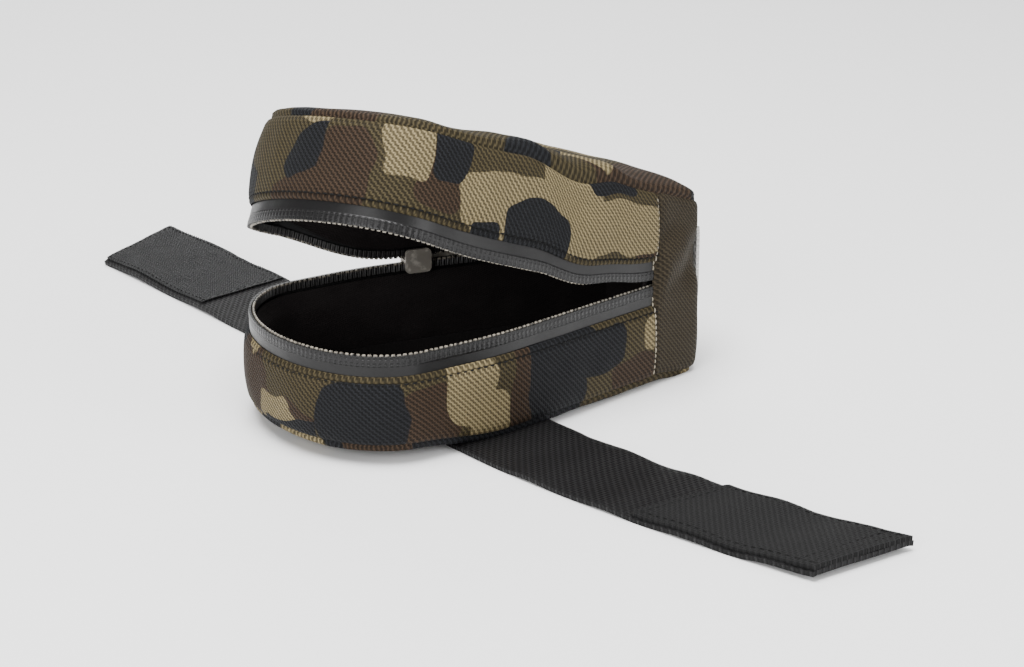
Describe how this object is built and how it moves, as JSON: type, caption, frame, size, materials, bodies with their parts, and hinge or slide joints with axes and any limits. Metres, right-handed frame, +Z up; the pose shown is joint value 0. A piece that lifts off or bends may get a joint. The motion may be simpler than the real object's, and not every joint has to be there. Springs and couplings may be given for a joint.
{
  "type": "strap-on zip case",
  "caption": "Small padded clamshell case with a flat spine, rounded nose and zip round the rim, carried by a webbing strap with hook and loop ends.",
  "frame": {"origin": "on the surface the case stands on, on the strap's underside beneath the middle of the case", "axes": "+X to the flat spine, -X to the rounded nose, +Y to the slider side along the strap, +Z up"},
  "size_m": [0.158, 0.3838, 0.1075],
  "materials": {
    "camo_fabric": "coarse woven camouflage cloth, matt",
    "spine_fabric": "plain olive-brown woven cloth, matt",
    "zip_tape": "film-coated zip tape, satin",
    "zip_coil": "nylon coil",
    "lining": "black woven lining",
    "binding": "black grosgrain binding",
    "foam": "closed-cell foam padding",
    "board": "thin plastic stiffener",
    "webbing": "black nylon webbing",
    "loop_pile": "woven loop pile",
    "hook_tape": "moulded hooks on woven tape",
    "reflective_loop": "light grey webbing",
    "thread": "black sewing thread",
    "slider_metal": "grey-brown plated die-cast"
  },
  "bodies": {
    "case": {"base_panel": "camo_fabric", "base_band": "camo_fabric", "base_seam_binding": "binding", "base_floor_foam": "foam", "base_wall_foam": "foam", "base_lining": "lining", "base_zip_tape": "zip_tape", "base_zip_coil": "zip_coil", "heel_panel": "camo_fabric", "heel_top_foam": "foam", "heel_lining": "lining", "heel_band_near": "camo_fabric", "heel_zip_tape_near": "zip_tape", "heel_zip_coil_near": "zip_coil", "heel_band_far": "camo_fabric", "heel_wall_foam_far": "foam", "heel_zip_tape_far": "zip_tape", "heel_zip_coil_far": "zip_coil", "spine_panel": "spine_fabric", "spine_board": "board", "spine_lining": "lining", "spine_loop": "reflective_loop", "strap_middle": "webbing", "strap_tack": "thread"},
    "lid": {"lid_panel": "camo_fabric", "lid_band": "camo_fabric", "lid_seam_binding": "binding", "lid_top_foam": "foam", "lid_wall_foam": "foam", "lid_lining": "lining", "lid_zip_tape": "zip_tape", "lid_zip_coil": "zip_coil"},
    "slider": {"zip_slider": "slider_metal", "slider_bail": "slider_metal"},
    "pull": {"slider_pull": "slider_metal"},
    "near_tail": {"near_strap_plain": "webbing"},
    "near_end": {"near_strap_end": "webbing", "near_loop_pile": "loop_pile"},
    "far_tail": {"far_strap_plain": "webbing"},
    "far_end": {"far_strap_end": "webbing", "far_hook_tape": "hook_tape"}
  },
  "joints": [
    {"name": "lid_fold", "type": "hinge", "parent": "case", "child": "lid", "pos_m": [0.044, -0.03193, 0.0368], "axis": [-0.5222, 0.8528, 0], "range_deg": [-22.5, 22]},
    {"name": "slider_travel", "type": "slide", "parent": "case", "child": "slider", "axis": [0.9839, -0.1789, 0], "range_m": [0, 0.0465]},
    {"name": "pull_swing", "type": "hinge", "parent": "slider", "child": "pull", "pos_m": [0.00227, 0.04084, 0.0368], "axis": [0, 0, 1], "range_deg": [0, 170]},
    {"name": "near_tail_bend", "type": "hinge", "parent": "case", "child": "near_tail", "pos_m": [-0.014, -0.05, 0.0008], "axis": [-0.972, -0.2351, 0], "range_deg": [-80, 60]},
    {"name": "near_end_bend", "type": "hinge", "parent": "near_tail", "child": "near_end", "pos_m": [-0.00036, -0.10637, 0.0008], "axis": [-0.972, -0.2351, 0], "range_deg": [-90, 45]},
    {"name": "far_tail_bend", "type": "hinge", "parent": "case", "child": "far_tail", "pos_m": [-0.014, 0.047, 0.0008], "axis": [0.9982, 0.0593, 0], "range_deg": [-80, 60]},
    {"name": "far_end_bend", "type": "hinge", "parent": "far_tail", "child": "far_end", "pos_m": [-0.01851, 0.12287, 0.0008], "axis": [0.9982, 0.0593, 0], "range_deg": [-90, 45]}
  ]
}
